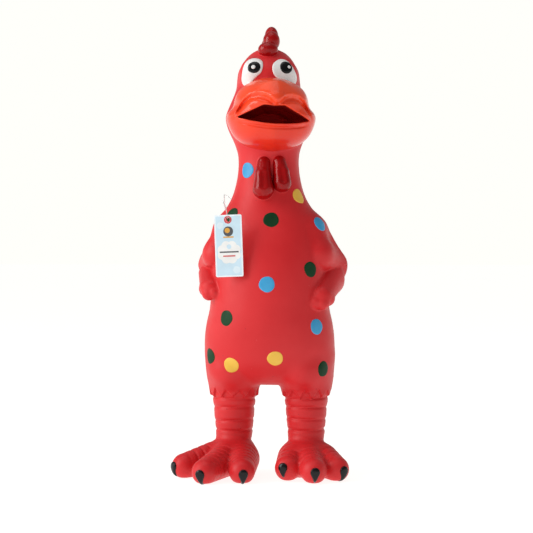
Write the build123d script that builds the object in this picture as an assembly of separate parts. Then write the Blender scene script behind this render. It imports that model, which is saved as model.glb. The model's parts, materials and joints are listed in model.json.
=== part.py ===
from build123d import *

import os
from math import asin, cos, pi, radians, sin, sqrt

# A standing rubber chicken: a hollow latex moulding that squeaks when its belly is
# squeezed, with a reed squeaker in the throat and a card tag on a nylon loop.
# Millimetres. +Z up, the chicken faces -Y, and its own left is +X. The origin is on the
# floor, under the middle of the whole object. Everything is modelled about the body's
# upright axis, and write() moves it to the origin.

# ---- Driving dimensions ----
BODY_Y = 6.4  # the body's upright axis, behind the origin
WALL = 2.2  # latex wall
SKIN_GAP = 0.3  # between sections of the moulding that move apart

CROTCH_Z = 61.0
NECK_LOW_Z = 178.0  # the neck bends between these two heights
NECK_HIGH_Z = 198.0
HEAD_TURN = 15.0  # the head looks this far to its own left, in degrees
CROWN_Z = 283.0

# The figure's cross-sections: height, half width, reach to the front, reach to the back.
FIGURE_SECTIONS = [
    (CROTCH_Z, 40.0, 17.0, 17.0),
    (68.0, 41.8, 26.0, 24.0),
    (78.0, 42.9, 32.0, 28.0),
    (92.0, 42.9, 36.0, 31.0),
    (110.0, 40.2, 37.5, 32.5),
    (130.0, 38.6, 36.5, 32.5),
    (150.0, 37.6, 32.5, 30.5),
    (165.0, 35.0, 28.0, 27.5),
    (NECK_LOW_Z, 28.2, 23.0, 24.0),
    (187.0, 23.4, 20.3, 21.5),
    (NECK_HIGH_Z, 20.5, 18.8, 19.8),
    (208.0, 19.9, 18.5, 19.5),
    (218.0, 21.6, 19.5, 20.5),
    (228.0, 27.0, 22.0, 22.0),
    (237.0, 29.4, 23.5, 23.0),
    (246.0, 26.2, 23.0, 23.0),
    (256.0, 21.6, 21.5, 22.0),
    (266.0, 19.4, 19.5, 21.0),
    (275.0, 15.4, 14.5, 17.0),
    (CROWN_Z, 6.0, 6.0, 8.0),
]

BELLY_Z, BELLY_RADIUS = 125.0, 20.0  # the part of the belly that a squeeze pushes in

LEG_X = 24.5
CUFF_LOW_Z = 52.0  # bottom of the thigh's tube
CUFF_RADIUS = 15.0
CUFF_SKIRT = 1.2  # how far the feathered skirt stands off the thigh
CUFF_TEETH = 12
SHANK_LOW_Z = 22.0  # top of the foot
SHANK_RADII = [14.4, 13.8, 13.2, 12.8]  # rings down the shank
SHANK_BULGE = 0.8

ANKLE_RADIUS = 12.4
HEEL_CENTRE, HEEL_RADIUS = (0, 10.0, 8.5), 11.0
TOES = {  # inner, middle, outer: degrees outward, and length to the middle of the round end
    "left": [(-15.5, 31.0), (15.0, 39.0), (48.0, 34.0)],
    "right": [(-16.5, 44.0), (12.0, 47.5), (48.0, 34.0)],
}
TOE_ROOT_OUT, TOE_ROOT_RADIUS, TOE_ROOT_Z = 9.0, 10.0, 9.5
TOE_TIP_RADIUS, TOE_TIP_Z = 8.0, 7.6
CLAW_RADII = (3.1, 3.4, 4.8)

MOUTH_Z = 235.0  # height of the mouth's corners
MOUTH_CENTRE = (0.0, -20.0, 237.2)
MOUTH_RADII = (22.5, 27.0, 6.6)
LINING_WALL = 1.6
COLLAR_LOW_Z = 212.0

SQUEAKER_RADIUS = 10.0
SQUEAKER_LOW_Z, SQUEAKER_HIGH_Z = 202.0, 224.0
SQUEAKER_WALL = 1.4
PLATE = 1.5  # thickness of the squeaker's grille and inlet cap
REED_PIVOT_Z, REED_TOP_Z = 207.0, 217.5
REED_GAP = 0.35
REED_THICKNESS = 0.2

TAG_SIZE = (18.0, 40.0, 0.5)
TAG_CENTRE = (-21.0, -37.6, 152.3)
TAG_TILT = -2.0  # in its own plane, in degrees
TAG_HOLE_DROP = 3.2  # from the tag's top edge down to its hole
TAG_HOLE_RADIUS = 1.5
LOOP_RADIUS = 0.25
LOOP_RUN_IN, LOOP_RUN_OUT = 3.0, 4.0  # straight through the skin, inwards and outwards
PIERCING_X, PIERCING_Z, PIERCING_RADIUS = (-27.0, -21.5), 172.5, 1.1
LOOP_BAR_RADIUS = 0.9

DOT_RADIUS = 5.2
DOT_HEIGHT = 0.25  # how far the paint stands off the skin

FRONT, BACK = -1, 1
FAR = 400.0  # larger than the object


# ---- Small helpers ----
def ellipsoid(centre, radii):
    return Pos(*centre) * scale(Sphere(1), by=tuple(radii))


def between_heights(low, high):
    return Pos(0, 0, (low + high) / 2) * Box(FAR, FAR, high - low)


def turned(shape):
    """A shape modelled on a head that looks straight ahead, turned with the head."""
    return Rot(0, 0, HEAD_TURN) * shape


def rod(start, end, radius):
    run = Vector(*end) - Vector(*start)
    plane = Plane(origin=start, z_dir=run)
    return plane * Cylinder(radius, run.length, align=(Align.CENTER, Align.CENTER, Align.MIN))


def tapered_finger(start, end, start_radius, end_radius):
    """Two balls of different size and the cone that is tangent to both."""
    run = Vector(*end) - Vector(*start)
    length = run.length
    slope = asin((start_radius - end_radius) / length)
    low = (start_radius * cos(slope), start_radius * sin(slope))
    high = (end_radius * cos(slope), length + end_radius * sin(slope))
    outline = (
        Line((0, -start_radius), (0, length + end_radius))
        + ThreePointArc((0, length + end_radius), arc_middle(end_radius, slope, length, 1), high)
        + Line(high, low)
        + ThreePointArc(low, arc_middle(start_radius, slope, 0, -1), (0, -start_radius))
    )
    profile = Plane.XZ * make_face(outline)
    return Plane(origin=start, z_dir=run) * revolve(profile, Axis.Z)


def arc_middle(radius, slope, height, side):
    """The point halfway round a ball's arc, from its pole to the cone's edge."""
    half = (radians(90) * side + slope) / 2
    return (radius * cos(half), height + radius * sin(half))


def figure(shrink):
    """The whole figure without its limbs, or its hollow when shrunk by the wall."""
    faces = []
    for height, half_width, front, back in FIGURE_SECTIONS:
        if height == CROTCH_Z:
            height += shrink
        if height == CROWN_Z:
            height -= shrink
        share = min(max((height - NECK_HIGH_Z) / (MOUTH_Z - NECK_HIGH_Z), 0), 1)
        ellipse = Ellipse(half_width - shrink, (front + back) / 2 - shrink)
        placed = Pos(0, (back - front) / 2, height) * ellipse
        faces.append(Rot(0, 0, HEAD_TURN * share) * placed)
    return loft(faces)


def section_at(height):
    """Half width, front reach and back reach, read between the nearest two sections."""
    for low, high in zip(FIGURE_SECTIONS, FIGURE_SECTIONS[1:]):
        if low[0] <= height <= high[0]:
            share = (height - low[0]) / (high[0] - low[0])
            return [a + (b - a) * share for a, b in zip(low[1:], high[1:])]
    raise ValueError(f"height {height} is off the figure")


def on_skin(x, height, side):
    """The point on the torso or neck at this x and height, on the front or the back."""
    half_width, front, back = section_at(height)
    middle = (back - front) / 2
    depth = (back + front) / 2 * sqrt(max(1 - (x / half_width) ** 2, 0.02))
    return (x, middle + side * depth, height)


def skin_normal(x, height, side):
    """The outward direction there, level with the floor."""
    half_width, front, back = section_at(height)
    point = on_skin(x, height, side)
    half_depth = (front + back) / 2
    level = Vector(x / half_width**2, (point[1] - (back - front) / 2) / half_depth**2, 0)
    return level.normalized()


FIGURE = figure(0)
HOLLOW = figure(WALL)
PAINTED = figure(-DOT_HEIGHT)
SHELL = FIGURE - HOLLOW


# ---- Torso, neck and head: one moulding, in the sections between which it bends ----
def leg_side(name):
    return 1 if name == "left" else -1


def leg_openings():
    bores = []
    for side in (1, -1):
        bores.append(Pos(side * LEG_X, 0, CROTCH_Z) * Cylinder(CUFF_RADIUS - WALL, 2 * WALL + 2))
    return bores


def belly_core(radius):
    """A cylinder through the front of the belly only."""
    depth = 60.0
    return Pos(0, -depth / 2 - 10, BELLY_Z) * Rot(90, 0, 0) * Cylinder(radius, depth)


def torso_skin():
    skin = SHELL & between_heights(CROTCH_Z - 1, NECK_LOW_Z)
    for bore in leg_openings():
        skin -= bore
    skin -= belly_core(BELLY_RADIUS + SKIN_GAP)
    for point, direction in loop_piercings():
        skin -= rod(point - direction * 5, point + direction * 3, PIERCING_RADIUS)
    return skin


def belly_panel():
    return SHELL & belly_core(BELLY_RADIUS)


def neck_skin():
    return SHELL & between_heights(NECK_LOW_Z, NECK_HIGH_Z)


def mouth_void(grow):
    """The mouth, and the throat that runs down from it to the squeaker."""
    radii = [r + grow for r in MOUTH_RADII]
    throat_high = MOUTH_CENTRE[2]
    throat_low = SQUEAKER_HIGH_Z
    throat = Pos(0, 0, (throat_low + throat_high) / 2) * Cylinder(
        SQUEAKER_RADIUS - 2 + grow, throat_high - throat_low
    )
    return turned(ellipsoid(MOUTH_CENTRE, radii)) + throat


def head_skin():
    """The head, open to the mouth and to the hollows of both halves of the beak."""
    skin = SHELL & between_heights(NECK_HIGH_Z, FAR)
    return skin - mouth_void(LINING_WALL) - upper_beak_hollow() - lower_beak_hollow()


def mouth_lining():
    """The mouth's inner wall, and the collar below it that grips the squeaker."""
    pocket = (mouth_void(LINING_WALL) - mouth_void(0)) & FIGURE
    height = SQUEAKER_HIGH_Z - COLLAR_LOW_Z
    collar = Pos(0, 0, COLLAR_LOW_Z + height / 2) * (
        Cylinder(SQUEAKER_RADIUS + LINING_WALL, height) - Cylinder(SQUEAKER_RADIUS, height)
    )
    shoulder = Pos(0, 0, SQUEAKER_HIGH_Z + LINING_WALL / 2) * (
        Cylinder(SQUEAKER_RADIUS + LINING_WALL, LINING_WALL)
        - Cylinder(SQUEAKER_RADIUS - 2, LINING_WALL)
    )
    return pocket + collar + shoulder


# ---- Wings and tail ----
def wing_blank(name, shrink):
    """A bent wing held like an arm with its hand on the hip, or its hollow."""
    side = leg_side(name)
    shoulder = (side * 30.0, 3.0, 158.0)
    elbow = (side * 39.5, 11.0, 139.0)
    hand = (side * 35.5, -18.0, 119.0)
    upper_arm = tapered_finger(elbow, shoulder, 9.8 - shrink, 9.0 - shrink)
    return upper_arm + tapered_finger(elbow, hand, 9.8 - shrink, 7.4 - shrink)


def wing(name):
    return wing_blank(name, 0) - wing_blank(name, WALL) - FIGURE


def tail():
    root = (0, 24.0, 88.0)
    tips = [(-7.0, 37.0, 96.0), (0, 39.0, 100.0), (7.0, 37.0, 96.0)]
    shape = None
    for tip in tips:
        feather = tapered_finger(root, tip, 8.5, 3.6)
        shape = feather if shape is None else shape + feather
    return shape - FIGURE


# ---- Legs ----
def thigh_cuff(name):
    """The thigh's tube with a skirt of feather points round it."""
    height = CROTCH_Z - CUFF_LOW_Z
    tube = Cylinder(CUFF_RADIUS, height) - Cylinder(CUFF_RADIUS - WALL, height)
    skirt = Cylinder(CUFF_RADIUS + CUFF_SKIRT, height) - Cylinder(CUFF_RADIUS - 0.5, height)
    notch_width = 2 * pi * CUFF_RADIUS / CUFF_TEETH
    outline = Polyline(
        (-notch_width / 2, -height / 2 - 1),
        (0, -height / 2 + 4.0),
        (notch_width / 2, -height / 2 - 1),
        close=True,
    )
    notch = extrude(Plane.XZ * make_face(outline), amount=CUFF_RADIUS * 2)
    for tooth in range(CUFF_TEETH):
        skirt -= Rot(0, 0, 360 / CUFF_TEETH * (tooth + 0.5)) * notch
    cuff = tube + skirt
    return Pos(leg_side(name) * LEG_X, 0, CROTCH_Z - height / 2) * cuff


def shank(name):
    """The ringed lower leg, a hollow tube that bends."""
    ring_height = (CUFF_LOW_Z - SHANK_LOW_Z) / len(SHANK_RADII)
    tube = None
    for index, radius in enumerate(SHANK_RADII):
        top = CUFF_LOW_Z - index * ring_height
        low_point = (radius - SHANK_BULGE, top - ring_height)
        high_point = (radius - SHANK_BULGE, top)
        outline = (
            Line((0, top), high_point)
            + ThreePointArc(high_point, (radius, top - ring_height / 2), low_point)
            + Line(low_point, (0, top - ring_height))
            + Line((0, top - ring_height), (0, top))
        )
        ring = revolve(Plane.XZ * make_face(outline), Axis.Z)
        tube = ring if tube is None else tube + ring
    middle = (CUFF_LOW_Z + SHANK_LOW_Z) / 2
    bore_radius = SHANK_RADII[-1] - SHANK_BULGE - WALL
    tube -= Pos(0, 0, middle) * Cylinder(bore_radius, CUFF_LOW_Z - SHANK_LOW_Z)
    return Pos(leg_side(name) * LEG_X, 0, 0) * tube


def toe_directions(name):
    for angle, length in TOES[name]:
        yield Vector(leg_side(name) * sin(radians(angle)), -cos(radians(angle)), 0), length


def foot_blank(name, shrink):
    """The foot's outside, or its hollow when shrunk by the wall."""
    ankle = Vector(leg_side(name) * LEG_X, 0, 0)
    upright = (Align.CENTER, Align.CENTER, Align.MIN)
    shape = Pos(*ankle) * Cylinder(ANKLE_RADIUS - shrink, SHANK_LOW_Z, align=upright)
    shape += Pos(*(ankle + Vector(*HEEL_CENTRE))) * Sphere(HEEL_RADIUS - shrink)
    for direction, length in toe_directions(name):
        root = ankle + direction * TOE_ROOT_OUT + Vector(0, 0, TOE_ROOT_Z)
        tip = ankle + direction * length + Vector(0, 0, TOE_TIP_Z)
        shape += tapered_finger(root, tip, TOE_ROOT_RADIUS - shrink, TOE_TIP_RADIUS - shrink)
    return shape & between_heights(shrink, SHANK_LOW_Z)


def foot(name):
    return foot_blank(name, 0) - foot_blank(name, WALL)


def claws(name):
    """Three black claws, each a rounded tear on the front of a toe."""
    pieces = []
    ankle = Vector(leg_side(name) * LEG_X, 0, 0)
    outside = foot_blank(name, 0)
    for direction, length in toe_directions(name):
        centre = ankle + direction * (length + 5.6) + Vector(0, 0, 7.4)
        heading = Rot(0, 0, Vector(0, -1, 0).get_signed_angle(direction))
        pieces.append(Pos(*centre) * heading * ellipsoid((0, 0, 0), CLAW_RADII) - outside)
    return Compound(children=[piece.solid() for piece in pieces])


# ---- Beak, comb, wattles and eyes ----
UPPER_BEAK = ((0, -16.0, 241.7), (28.0, 28.0, 20.8))  # centre and radii
LOWER_BEAK = ((0, -14.0, 234.0), (28.5, 25.0, 20.0))


def beak_form(half, shrink):
    centre, radii = half
    return turned(ellipsoid(centre, [r - shrink for r in radii]))


def upper_beak_hollow():
    return (beak_form(UPPER_BEAK, WALL) & between_heights(MOUTH_Z + WALL, FAR)) - mouth_void(WALL)


def lower_beak_hollow():
    return (beak_form(LOWER_BEAK, WALL) & between_heights(0, MOUTH_Z - WALL)) - mouth_void(WALL)


def upper_beak():
    lip = beak_form(UPPER_BEAK, 0) & between_heights(MOUTH_Z, FAR)
    return lip - upper_beak_hollow() - mouth_void(0) - FIGURE


def lower_beak():
    lip = beak_form(LOWER_BEAK, 0) & between_heights(0, MOUTH_Z)
    return lip - lower_beak_hollow() - mouth_void(0) - FIGURE


def comb():
    lobes = [
        ((0, -11.0, 281.0), (6.4, 6.0, 6.0)),
        ((1.0, -3.5, 286.0), (6.6, 6.6, 9.4)),
        ((1.5, 6.0, 289.0), (6.0, 6.8, 10.4)),
        ((1.0, 14.5, 281.0), (5.2, 6.4, 9.0)),
    ]
    shape = None
    for centre, radii in lobes:
        lobe = ellipsoid(centre, radii)
        shape = lobe if shape is None else shape + lobe
    return turned(shape) - FIGURE


def wattle(name):
    if name == "right":
        root, tip, radius = (-5.2, -17.5, 206.5), (-6.0, -21.8, 190.0), 6.4
    else:
        root, tip, radius = (4.8, -17.5, 206.5), (6.4, -21.2, 193.0), 5.7
    lobe = turned(tapered_finger(tip, root, radius, 4.0)) - FIGURE
    if name == "left":
        lobe -= wattle("right")
    return lobe


EYE_MIDDLE_X = -1.5  # halfway between the two eyes
EYE_SPREAD, EYE_Y, EYE_Z = 10.6, -12.0, 268.0
PUPIL_Y, PUPIL_Z = -17.0, 270.8
GLINT_RIGHT, GLINT_Y, GLINT_Z = 0.6, -19.4, 271.6


def eye_x(name):
    return EYE_MIDDLE_X + leg_side(name) * EYE_SPREAD


def eye_blank(name):
    return turned(ellipsoid((eye_x(name), EYE_Y, EYE_Z), (8.2, 7.0, 9.6)))


def eye(name):
    return eye_blank(name) - FIGURE - beak_form(UPPER_BEAK, 0)


def pupil_blank(name):
    return turned(ellipsoid((eye_x(name), PUPIL_Y, PUPIL_Z), (4.4, 3.0, 4.1)))


def pupil(name):
    return pupil_blank(name) - eye_blank(name) - FIGURE


def eye_glint(name):
    centre = (eye_x(name) + GLINT_RIGHT, GLINT_Y, GLINT_Z)
    return turned(ellipsoid(centre, (1.5, 1.2, 1.5))) - pupil_blank(name)


# ---- Painted dots ----
def dots(places):
    """Paint dots as thin pads on the skin, each at an x, a height and a side."""
    pads = []
    for x, height, side in places:
        point = Vector(*on_skin(x, height, side))
        direction = skin_normal(x, height, side)
        core = rod(point - direction * 4, point + direction * 6, DOT_RADIUS)
        pads += ((PAINTED & core) - FIGURE).solids()
    return Compound(children=pads)


TORSO_DOTS = {
    "yellow": [(3.0, 77.0, FRONT), (-26.0, 73.0, FRONT), (12.0, 160.0, BACK), (-20.0, 82.0, BACK)],
    "green": [
        (0.5, 168.5, FRONT),
        (27.5, 136.5, FRONT),
        (-29.5, 104.0, FRONT),
        (34.5, 70.5, FRONT),
        (-24.0, 169.0, FRONT),
        (-12.0, 140.0, BACK),
        (22.0, 80.0, BACK),
    ],
    "blue": [(31.5, 98.5, FRONT), (30.5, 166.0, FRONT), (-39.0, 79.5, FRONT), (14.0, 122.0, BACK)],
}
BELLY_DOTS = [(-2.0, 126.0, FRONT)]
NECK_DOTS = [(18.2, 184.0, FRONT)]
HEAD_DOTS = [(-14.5, 205.0, FRONT)]


# ---- Squeaker ----
def squeaker_housing():
    height = SQUEAKER_HIGH_Z - SQUEAKER_LOW_Z
    tube = Cylinder(SQUEAKER_RADIUS, height) - Pos(0, 0, -PLATE) * Cylinder(
        SQUEAKER_RADIUS - SQUEAKER_WALL, height
    )
    grille_hole_radius, grille_ring = 1.2, 4.4
    tube -= Pos(0, 0, height / 2 - PLATE / 2) * Cylinder(grille_hole_radius, 2 * PLATE)
    for hole in PolarLocations(grille_ring, 6):
        tube -= Pos(0, 0, height / 2 - PLATE / 2) * hole * Cylinder(grille_hole_radius, 2 * PLATE)
    return Pos(0, 0, SQUEAKER_LOW_Z + height / 2) * tube


AIR_CHANNEL = (2.4, 2.4)  # width and depth of the groove that the reed covers


def squeaker_inlet_cap():
    disc = Cylinder(SQUEAKER_RADIUS - SQUEAKER_WALL, PLATE)
    disc -= Pos(0, -AIR_CHANNEL[1] / 2, 0) * Box(AIR_CHANNEL[0], AIR_CHANNEL[1], 2 * PLATE)
    return Pos(0, 0, SQUEAKER_LOW_Z + PLATE / 2) * disc


def squeaker_reed_bed():
    """A half-round block with a groove, and a low step that lifts the reed's root."""
    low = SQUEAKER_LOW_Z + PLATE
    high = REED_TOP_Z + 1.5
    bed = Pos(0, 0, (low + high) / 2) * Cylinder(4.0, high - low)
    bed &= Pos(0, -FAR / 2, 0) * Box(FAR, FAR, 2 * FAR)
    step_height = REED_PIVOT_Z - low
    bed += Pos(0, REED_GAP / 2, low + step_height / 2) * Box(6.0, REED_GAP, step_height)
    groove_high = REED_TOP_Z - 1.0
    bed -= Pos(0, -AIR_CHANNEL[1] / 2, (low + groove_high) / 2) * Box(
        AIR_CHANNEL[0], AIR_CHANNEL[1], groove_high - low
    )
    return bed


def squeaker_reed():
    height = REED_TOP_Z - REED_PIVOT_Z
    return Pos(0, REED_GAP + REED_THICKNESS / 2, REED_PIVOT_Z + 0.05 + height / 2) * Box(
        4.4, REED_THICKNESS, height
    )


def squeaker_reed_clamp():
    low = SQUEAKER_LOW_Z + PLATE
    height = REED_PIVOT_Z - low
    return Pos(0, REED_GAP + 1.2, low + height / 2) * Box(6.0, 2.4, height)


# ---- Tag and loop ----
def loop_piercings():
    """The two holes in the shoulder that the loop goes through: point and direction."""
    found = []
    for x in PIERCING_X:
        point = Vector(*on_skin(x, PIERCING_Z, BACK))
        direction = (skin_normal(x, PIERCING_Z, BACK) + Vector(0, 0, 0.6)).normalized()
        found.append((point, direction))
    return found


def tag():
    width, height, thickness = TAG_SIZE
    card = extrude(Plane.XZ * RectangleRounded(width, height, 1.0), amount=thickness / 2, both=True)
    hole = Pos(0, 0, height / 2 - TAG_HOLE_DROP) * Rot(90, 0, 0)
    card -= hole * Cylinder(TAG_HOLE_RADIUS, thickness * 2)
    return Pos(*TAG_CENTRE) * Rot(0, TAG_TILT, 0) * card


def loop_route():
    """Out of the first hole, over the shoulder, through the tag's hole and back."""
    (first, first_way), (second, second_way) = loop_piercings()
    over_shoulder = [
        (-31.9, 12.6, 178.6),
        (-31.6, 5.0, 181.0),
        (-31.2, -4.5, 182.0),
        (-29.2, -14.5, 182.1),
        (-26.7, -23.5, 179.8),
        (-24.2, -30.5, 175.2),
    ]
    through_tag = [
        (-22.0, -33.8, 169.9),
        (-21.3, -41.4, 169.9),
    ]
    back_over_shoulder = [
        (-22.0, -42.5, 177.0),
        (-24.0, -37.5, 182.5),
        (-25.6, -28.5, 185.3),
        (-27.4, -18.0, 186.2),
        (-28.6, -6.0, 186.0),
        (-28.6, 6.0, 185.0),
        (-27.2, 15.5, 182.6),
        (-25.2, 21.3, 179.0),
    ]
    start = [first - first_way * LOOP_RUN_IN, first + first_way * LOOP_RUN_OUT]
    end = [second + second_way * LOOP_RUN_OUT, second - second_way * LOOP_RUN_IN]
    middle = [Vector(*point) for point in over_shoulder + through_tag + back_over_shoulder]
    return start + middle + end


def tag_loop():
    points = loop_route()
    radii = []
    for before, point, after in zip(points, points[1:], points[2:]):
        first_run, second_run = point - before, after - point
        half_turn = radians(first_run.get_angle(second_run)) / 2
        shorter = min(first_run.length, second_run.length)
        radii.append(0.45 * shorter * cos(half_turn) / sin(half_turn))
    path = FilletPolyline(*points, radius=radii)
    section = Plane(origin=path @ 0, z_dir=path % 0) * Circle(LOOP_RADIUS)
    strand = sweep(section, path=path)
    true_volume = pi * LOOP_RADIUS**2 * path.length
    print("loop: route", [tuple(round(v, 2) for v in point) for point in points])
    print("loop: radii", [round(r, 1) for r in radii])
    print("loop: length", round(path.length, 1), "volume", round(strand.volume / true_volume, 4))
    return strand


def tag_loop_bar():
    """The moulded bar inside the shoulder that joins the loop's two ends."""
    depth = LOOP_RUN_IN + LOOP_BAR_RADIUS
    (first, first_way), (second, second_way) = loop_piercings()
    low, high = first - first_way * depth, second - second_way * depth
    overhang = (high - low).normalized() * 1.5
    return rod(low - overhang, high + overhang, LOOP_BAR_RADIUS)


# ---- Write one STEP per node ----
def write(name, shape):
    export_step(Pos(0, BODY_Y, 0) * shape, f"parts/{name}.step")


def main():
    os.makedirs("parts", exist_ok=True)
    write("torso_skin", torso_skin())
    write("belly_panel", belly_panel())
    write("neck_skin", neck_skin())
    write("head_skin", head_skin())
    write("mouth_lining", mouth_lining())
    write("upper_beak", upper_beak())
    write("lower_beak", lower_beak())
    write("comb", comb())
    write("tail", tail())
    for name in ("left", "right"):
        write(f"{name}_wing", wing(name))
        write(f"{name}_thigh_cuff", thigh_cuff(name))
        write(f"{name}_shank", shank(name))
        write(f"{name}_foot", foot(name))
        write(f"{name}_claws", claws(name))
        write(f"{name}_wattle", wattle(name))
        write(f"{name}_eye", eye(name))
        write(f"{name}_pupil", pupil(name))
        write(f"{name}_eye_glint", eye_glint(name))
    for colour, places in TORSO_DOTS.items():
        write(f"torso_dots_{colour}", dots(places))
    write("belly_dot_blue", dots(BELLY_DOTS))
    write("neck_dot_yellow", dots(NECK_DOTS))
    write("throat_dot_blue", dots(HEAD_DOTS))
    write("squeaker_housing", squeaker_housing())
    write("squeaker_inlet_cap", squeaker_inlet_cap())
    write("squeaker_reed_bed", squeaker_reed_bed())
    write("squeaker_reed", squeaker_reed())
    write("squeaker_reed_clamp", squeaker_reed_clamp())
    write("tag", tag())
    write("tag_loop", tag_loop())
    write("tag_loop_bar", tag_loop_bar())


main()
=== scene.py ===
import json
from contextlib import contextmanager
from math import cos, pi, radians, sin

import bmesh
import bpy
import numpy as np
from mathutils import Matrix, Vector


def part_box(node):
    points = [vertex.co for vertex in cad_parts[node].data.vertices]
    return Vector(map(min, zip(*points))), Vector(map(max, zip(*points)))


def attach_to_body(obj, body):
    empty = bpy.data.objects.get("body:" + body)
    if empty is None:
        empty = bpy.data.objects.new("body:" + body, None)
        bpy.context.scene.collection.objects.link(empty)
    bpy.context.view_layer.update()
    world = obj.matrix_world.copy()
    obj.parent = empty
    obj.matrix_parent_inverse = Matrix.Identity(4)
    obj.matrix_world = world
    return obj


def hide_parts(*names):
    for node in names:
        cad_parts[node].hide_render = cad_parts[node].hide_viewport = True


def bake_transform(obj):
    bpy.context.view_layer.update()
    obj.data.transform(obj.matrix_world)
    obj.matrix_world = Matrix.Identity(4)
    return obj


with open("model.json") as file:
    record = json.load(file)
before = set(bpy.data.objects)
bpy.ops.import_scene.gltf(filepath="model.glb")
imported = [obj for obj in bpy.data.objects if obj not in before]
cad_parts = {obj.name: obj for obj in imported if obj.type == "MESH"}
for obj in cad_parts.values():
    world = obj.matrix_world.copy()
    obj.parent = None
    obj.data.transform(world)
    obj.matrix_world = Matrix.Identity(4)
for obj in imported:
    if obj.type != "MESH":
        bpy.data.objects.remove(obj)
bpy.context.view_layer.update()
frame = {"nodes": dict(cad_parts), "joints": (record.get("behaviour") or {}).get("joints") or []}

# A standing rubber chicken. Shapes are worked out in millimetres about the body's upright
# axis, in which the chicken faces -Y and its own left is +X, and placed in metres.
JOINTS = {joint["name"]: joint for joint in frame["joints"]}
MM = 0.001
BODY_Y = JOINTS["neck_bend"]["pos_m"][1] / MM  # the body's axis, behind the origin

CELL = 0.8  # spacing of the grid that the skin is drawn from
FINE_CELL = 0.5

NECK_LOW_Z, NECK_HIGH_Z = (corner[2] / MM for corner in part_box("neck_skin"))
SHANK_LOW_Z, SHANK_HIGH_Z = (corner[2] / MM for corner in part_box("left_shank"))
HEAD_TURN = radians(15.0)
HEAD_LEAN = -1.0  # the head stands this far to the chicken's right of the neck
LEG_X = 24.2


# ---- Fields: a distance to each shape's surface, negative inside ----
def smooth_min(a, b, width):
    share = np.clip(0.5 + 0.5 * (b - a) / width, 0, 1)
    return b + (a - b) * share - width * share * (1 - share)


def smooth_max(a, b, width):
    return -smooth_min(-a, -b, width)


def merged(shapes, width):
    """Shapes that run together, each joined smoothly to those before it."""
    whole, *others = shapes
    for shape in others:
        whole = smooth_min(whole, shape, width)
    return whole


def smooth_step(low, high, value):
    share = np.clip((value - low) / (high - low), 0, 1)
    return share * share * (3 - 2 * share)


def bump(value, width):
    return np.exp(-((value / width) ** 2))


def ball_cone(points, start, end, start_radius, end_radius):
    """A finger: a ball that moves from start to end while its radius changes."""
    start, run = np.array(start, float), np.array(end, float) - np.array(start, float)
    share = np.clip((points - start) @ run / (run @ run), 0, 1)
    centre = start + share[:, None] * run
    radius = start_radius + (end_radius - start_radius) * share
    return np.linalg.norm(points - centre, axis=1) - radius


def ellipsoid(points, centre, radii):
    scaled = (points - np.array(centre, float)) / np.array(radii, float)
    size = np.linalg.norm(scaled, axis=1) + 1e-9
    slope = np.linalg.norm(scaled / np.array(radii, float), axis=1) + 1e-9
    return size * (size - 1) / slope


class Profile:
    """A smooth curve through values given at a few heights."""

    STEP = 0.25

    def __init__(self, heights, values, softness=2.5):
        reach = 6 * softness
        self.heights = np.arange(heights[0] - reach, heights[-1] + reach, self.STEP)
        rough = np.interp(self.heights, heights, values)
        offsets = np.arange(-3 * softness, 3 * softness + self.STEP, self.STEP)
        weights = bump(offsets, 1.414 * softness)
        half = len(offsets) // 2
        padded = np.pad(rough, half, mode="edge")
        self.values = np.convolve(padded, weights / weights.sum(), mode="valid")[: len(rough)]

    def __call__(self, height):
        return np.interp(height, self.heights, self.values)


# Cross-sections: height, half width, reach to the front, reach to the back.
TORSO_SECTIONS = [
    (58.0, 34.0, 10.0, 12.0),
    (62.0, 37.0, 16.0, 17.0),
    (66.0, 39.5, 23.0, 22.0),
    (72.0, 41.6, 29.0, 26.0),
    (78.0, 42.9, 33.0, 28.5),
    (86.0, 43.3, 36.0, 30.5),
    (94.0, 42.9, 37.3, 31.5),
    (102.0, 41.7, 38.0, 32.5),
    (110.0, 39.6, 38.0, 32.8),
    (118.0, 38.9, 37.8, 32.8),
    (126.0, 38.8, 37.0, 32.6),
    (134.0, 38.5, 36.0, 32.2),
    (142.0, 38.0, 34.6, 31.6),
    (150.0, 37.3, 32.6, 30.6),
    (158.0, 36.4, 30.4, 29.4),
    (166.0, 35.0, 27.8, 27.6),
    (172.0, 32.2, 25.4, 25.8),
    (178.0, 27.9, 23.0, 24.0),
    (184.0, 24.4, 21.0, 22.0),
    (190.0, 22.4, 19.8, 20.8),
    (198.0, 20.6, 18.8, 19.8),
    (206.0, 19.8, 18.4, 19.5),
    (213.5, 20.1, 18.9, 20.0),
    (221.5, 22.9, 20.2, 21.0),
    (229.5, 27.0, 22.2, 22.4),
    (237.4, 29.0, 23.5, 23.2),
    (246.7, 25.1, 23.0, 23.2),
    (252.7, 22.4, 22.2, 22.8),
    (258.0, 20.7, 21.2, 22.4),
    (266.0, 19.5, 20.0, 21.8),
    (276.0, 17.5, 17.5, 20.0),
]
HEIGHTS = [row[0] for row in TORSO_SECTIONS]
HALF_WIDTH = Profile(HEIGHTS, [row[1] for row in TORSO_SECTIONS])
MIDDLE = Profile(HEIGHTS, [(row[3] - row[2]) / 2 for row in TORSO_SECTIONS])
HALF_DEPTH = Profile(HEIGHTS, [(row[3] + row[2]) / 2 for row in TORSO_SECTIONS])


def turned(points, height=None):
    """Points as the head sees them: the head is turned, and the neck twists up to it."""
    height = points[:, 2] if height is None else height
    share = smooth_step(196, 234, height)
    angle = HEAD_TURN * share
    x = points[:, 0] - HEAD_LEAN * smooth_step(150, 185, height)
    y = points[:, 1]
    sine, cosine = np.sin(angle), np.cos(angle)
    return np.stack([x * cosine + y * sine, y * cosine - x * sine, points[:, 2]], axis=1)


def head_turned(points):
    """Points turned with the head all the way, whatever their height."""
    return turned(points, np.full(len(points), 300.0))


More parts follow.
